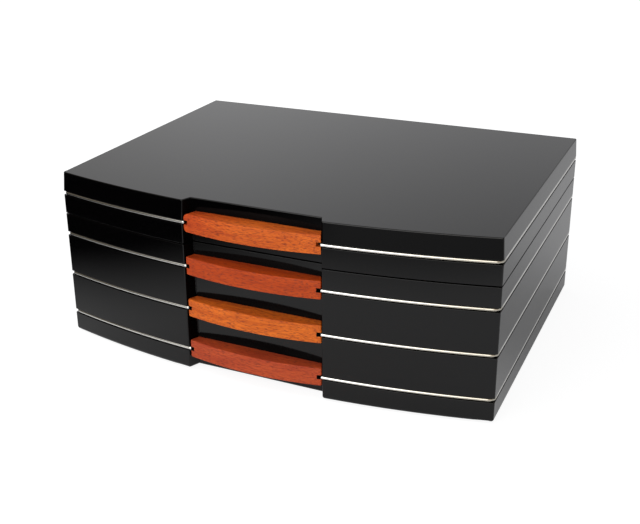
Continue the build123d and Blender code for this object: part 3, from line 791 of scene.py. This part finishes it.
# Rods and pull screws
# Polished stainless rod with faint drawing lines along it, pressed into the grooves. Each is bent
# round the corner, and its tip lies in the notch of a pull. In front, towards the corner on the
# right, a painted reflection makes it darker and warmer.
steel_bright = (0.80, 0.79, 0.76, 1)
steel_grey = (0.66, 0.65, 0.62, 1)
painted_warm_reflection = (0.64, 0.61, 0.54, 1)
steel_roughness = (0.10, 0.24)
drawing_lines = (12, 12, 2600)
painted_reflection_from_to = (0.055, 0.215)
front_of_bend = (0.125, 0.136)
rod_radius = 0.0016
rod_sides = 24
tip_x = 0.0673
tip_round = 0.0011
tip_round_steps = 4
line_radius = 0.908096
line_centre_y = 0.743546
side_x = 0.2183
bend_radius = 0.0055
back_y = 0.16575
wing_steps = 60
bend_steps = 10
end_bevel = 0.00015
rod_smooth_under = 40
tip_turn = math.asin(tip_x / line_radius)
bend_turn = math.asin((side_x - bend_radius) / (line_radius - bend_radius))
bend_centre_y = line_centre_y - (line_radius - bend_radius) * math.cos(bend_turn)
steel, tree, shader = new_finish("polished_steel", Metallic=1.0)
on_steel = from_node(tree, "ShaderNodeTexCoord", result="Object")
drawn = from_node(tree, "ShaderNodeMapping", Vector=on_steel, Scale=drawing_lines)
lines = from_node(tree, "ShaderNodeTexNoise", result="Fac", Vector=drawn, Scale=1.0, Detail=3.0)
drawn_steel = mixed_colour(tree, lines, steel_grey, steel_bright)
# Painted reflection: the front of the rods on the right turns darker and warmer towards the
# corner.
at_right = falling(tree, along(tree, on_steel, right_way), *painted_reflection_from_to, 0.0, 1.0)
in_front = falling(tree, along(tree, on_steel, front_way), *front_of_bend, 0.0, 1.0)
warmth = maths(tree, "MULTIPLY", at_right, in_front)
steel_with_painted_reflection = mixed_colour(tree, warmth, drawn_steel, painted_warm_reflection, "MULTIPLY")
link(tree, steel_with_painted_reflection, shader.inputs["Base Color"])
vary(tree, lines, shader.inputs["Roughness"], *steel_roughness)
coat(steel, "body_pull_screws", "lid_pull_screws")


def new_rod(name, level, outward):
    """A round rod, drawn from its tip along the wing, round the corner and back along the side."""
    bpy.ops.object.select_all(action="DESELECT")
    bpy.ops.mesh.primitive_circle_add(
        vertices=rod_sides,
        radius=rod_radius,
        fill_type="NGON",
        location=(tip_x, line_centre_y - line_radius * math.cos(tip_turn), level),
        rotation=(0, math.pi / 2, tip_turn),
    )
    rod = bpy.context.object
    rod.name = name
    bpy.ops.object.transform_apply(location=True, rotation=True, scale=True)
    bpy.ops.object.mode_set(mode="EDIT")
    bpy.ops.mesh.select_all(action="SELECT")
    for steps, turn, centre in (
        (wing_steps, tip_turn - bend_turn, (0, line_centre_y, level)),
        (bend_steps, bend_turn - math.pi / 2, (side_x - bend_radius, bend_centre_y, level)),
    ):
        bpy.ops.mesh.spin(steps=steps, angle=turn, center=centre, axis=(0, 0, 1))
    bpy.ops.mesh.extrude_region_move(
        TRANSFORM_OT_translate={"value": (0, back_y - bend_centre_y, 0)}
    )
    bpy.ops.mesh.bevel(offset=end_bevel, segments=1, affect="EDGES")
    pick_faces(rod, lambda middle: middle.x < tip_x + touching)
    bpy.ops.mesh.bevel(offset=tip_round, segments=tip_round_steps, affect="EDGES")
    if outward < 0:
        bpy.ops.mesh.select_all(action="SELECT")
        bpy.ops.transform.mirror(constraint_axis=(True, False, False), center_override=(0, 0, 0))
    bpy.ops.mesh.select_all(action="SELECT")
    bpy.ops.mesh.remove_doubles(threshold=merged_within)
    leave_edit_mode()
    smooth_shading(rod_smooth_under)
    return rod


for tier, level in tier_levels.items():
    for side, outward in (("left", -1), ("right", 1)):
        rod = mesh_finished(new_rod("polished_rod_" + tier + "_" + side, level, outward), steel)
        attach(rod, "lid" if tier == "lid" else "case")
        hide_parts(tier + "_rod_" + side)

# Lacquered boards of the lid
# Four walls, mitred at the corners, under a full top board, and finished like the case. The gap
# between them and the case is the one line that parts the front.
coat(lacquer, "lid_front", "lid_left", "lid_right", "lid_back", "lid_top")

# Cedar in the lid
# A panel under the top board, and a frame round it of four strips mitred at the corners, whose
# grain turns with them.
frame_middle_y = 0.00925
mitre_line = 0.0635
mitre_way = (1.0, -1.0, 0.0)
cedar_mitred = cedar_finish("cedar_mitred_frame", along_x, shift=(2.1, 0.3, 0.7), warmth=0.05)
tree = cedar_mitred.node_tree
frame_colour = tree.nodes["Principled BSDF"].inputs["Base Color"]
long_strips = frame_colour.links[0].from_socket
short_strips = cedar_grain(tree, along_y, shift=(1.7, 1.1, 0.4), warmth=0.20).outputs["Color"]
on_frame = from_node(tree, "ShaderNodeTexCoord", result="Object")
centred = from_node(
    tree, "ShaderNodeVectorMath", on_frame, (0, frame_middle_y, 0), operation="SUBTRACT"
)
outward = from_node(tree, "ShaderNodeVectorMath", centred, operation="ABSOLUTE")
past_mitre = maths(tree, "GREATER_THAN", along(tree, outward, mitre_way), mitre_line)
link(tree, mixed_colour(tree, past_mitre, long_strips, short_strips), frame_colour)
coat(cedar_mitred, "lid_lining_frame")
coat(cedar_floor, "lid_lining_panel")

# Hinges
# Solid brass butts, let into the rims of the back walls, with three countersunk and slotted brass
# screws in each leaf. The slots stand as the screwdriver left them.
brass_light = (0.86, 0.64, 0.32, 1)
brass_dark = (0.70, 0.48, 0.20, 1)
brass_roughness = (0.16, 0.34)
screw_head_radius = 0.00265
screw_head_sides = 40
screw_radius = 0.0015
screw_head_depth = 0.00115
screw_shank = 0.008
screw_tip = 0.0028
screw_tip_share = 0.35
screw_easing = 0.00006
sharp_screw_edge = 0.9
screw_smooth_under = 35
slot_width = 0.0007
slot_depth = 0.0007
first_slot_turn = 20
next_slot_turn = 37
screw_places_x = (-0.137, -0.120, -0.103, 0.103, 0.120, 0.137)
screw_y = 0.15875
screw_levels = {"case": 0.1299, "lid": 0.1311}
brass = hazed_finish(
    "polished_brass",
    {"Cloud": 60.0, "Fine": 1500.0},
    colours=("Cloud", brass_dark, brass_light),
    roughness=("Fine", *brass_roughness),
    Metallic=1.0,
)
coat(brass, *(name for name in nodes if name.startswith("hinge_")))
bpy.ops.mesh.primitive_circle_add(
    vertices=screw_head_sides, radius=screw_head_radius, fill_type="NGON"
)
screw = bpy.context.object
bpy.ops.object.mode_set(mode="EDIT")
bpy.ops.mesh.select_all(action="SELECT")
for drop, share in (
    (screw_head_depth, screw_radius / screw_head_radius),
    (screw_shank, 1.0),
    (screw_tip, screw_tip_share),
):
    bpy.ops.mesh.extrude_region_move(TRANSFORM_OT_translate={"value": (0, 0, -drop)})
    bpy.ops.transform.resize(value=(share, share, 1), center_override=(0, 0, 0))
leave_edit_mode()
slot_half = (2 * screw_head_radius, slot_width / 2, slot_depth)
cut_with(screw, "DIFFERENCE", box_between([-half for half in slot_half], slot_half))
ease_edges(screw, screw_easing, 1, sharp_screw_edge)
smooth_shading(screw_smooth_under)
for body, level in screw_levels.items():
    for number, screw_x in enumerate(screw_places_x):
        slot_turn = math.radians(next_slot_turn * number + first_slot_turn)
        turn = (math.pi if body == "lid" else 0, 0, slot_turn)
        name = body + "_hinge_screw_" + str(number + 1)
        piece = mesh_finished(put_copy(screw, name, (screw_x, screw_y, level), turn), brass)
        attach(piece, body)
        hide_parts("hinge_" + body + "_screws")
bpy.data.objects.remove(screw, do_unlink=True)

# Hygrometer
# A brass can and bezel, let into the cedar of the lid, round a pale dial under flat glass. The
# dial faces down, and its marks and numbers, 0 to 100 per cent, are printed in the needle's black.
dial_pale = (0.80, 0.78, 0.72, 1)
dial_paler = (0.88, 0.86, 0.81, 1)
glass_tint = (0.96, 0.98, 0.97, 1)
glass_roughness = (0.0, 0.03)
ink_dark = (0.010, 0.010, 0.010, 1)
ink_light = (0.022, 0.021, 0.020, 1)
dial_middle = Vector((0, -0.04575, 0.1589))
print_thickness = 0.00005
long_mark = (0.0005, 0.0036)
short_mark = (0.00022, 0.0018)
mark_outer = 0.0245
number_radius = 0.0172
number_size = 0.0042
degrees_per_cent = 2.7
middle_per_cent = 50
mark_every, long_mark_every, number_every = 2, 10, 20
dial_paint = hazed_finish(
    "dial_paint", {"Fine": 2500.0}, colours=("Fine", dial_pale, dial_paler), Roughness=0.5
)
coat(dial_paint, "hygrometer_dial")
coat(brass, "hygrometer_can", "hygrometer_bezel")
glass = hazed_finish(
    "flat_glass",
    {"Cloud": 40.0},
    roughness=("Cloud", *glass_roughness),
    Base_Color=glass_tint,
    IOR=1.5,
    Transmission_Weight=1.0,
)
coat(glass, "hygrometer_glass")
ink = hazed_finish(
    "dial_ink", {"Cloud": 90.0}, colours=("Cloud", ink_dark, ink_light), Roughness=0.45
)
coat(ink, "hygrometer_needle")
marks = []
for percent in range(0, 101, mark_every):
    turn = math.radians((percent - middle_per_cent) * degrees_per_cent)
    width, length = long_mark if percent % long_mark_every == 0 else short_mark
    mark = box_between(
        (-width / 2, -mark_outer, -print_thickness / 2),
        (width / 2, length - mark_outer, print_thickness / 2),
    )
    mark.rotation_euler = (0, 0, turn)
    marks.append(mark)
    if percent % number_every == 0:
        bpy.ops.object.select_all(action="DESELECT")
        bpy.ops.object.text_add()
        number = bpy.context.object
        number.data.body = str(percent)
        number.data.size = number_size
        number.data.align_x = "CENTER"
        number.data.align_y = "CENTER"
        number.data.extrude = print_thickness / 2
        bpy.ops.object.convert(target="MESH")
        number = bpy.context.object
        number.rotation_euler = (math.pi, 0, 0)
        number.location = (number_radius * math.sin(turn), -number_radius * math.cos(turn), 0)
        marks.append(number)
select_only(marks[0])
for mark in marks:
    mark.select_set(True)
bpy.ops.object.transform_apply(location=True, rotation=True, scale=True)
bpy.ops.object.join()
dial_marks = bpy.context.object
dial_marks.name = "dial_marks"
dial_marks.location = dial_middle - Vector((0, 0, print_thickness / 2))
bpy.ops.object.transform_apply(location=True)
mesh_finished(dial_marks, ink)
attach(dial_marks, "lid")

# Humidifier
# A moulded black case with a slotted grille over green water-holding foam, fixed to the cedar of
# the lid, so that the air over the cigars stays moist.
plastic_dark = (0.014, 0.014, 0.014, 1)
plastic_light = (0.024, 0.024, 0.024, 1)
plastic_roughness = (0.30, 0.45)
plastic_texture = 0.00003
foam_dark = (0.030, 0.085, 0.040, 1)
foam_light = (0.090, 0.210, 0.105, 1)
foam_cells = 0.0006
plastic = hazed_finish(
    "black_moulding",
    {"Cloud": 40.0, "Fine": 2200.0, "Wave": 1800.0},
    colours=("Cloud", plastic_dark, plastic_light),
    roughness=("Fine", *plastic_roughness),
    wave=plastic_texture,
    IOR=1.5,
)
coat(plastic, "humidifier_case", "humidifier_grille")
foam = hazed_finish(
    "green_foam",
    {"Wave": 1000.0},
    colours=("Wave", foam_dark, foam_light),
    wave=foam_cells,
    Roughness=0.95,
)
coat(foam, "humidifier_foam")
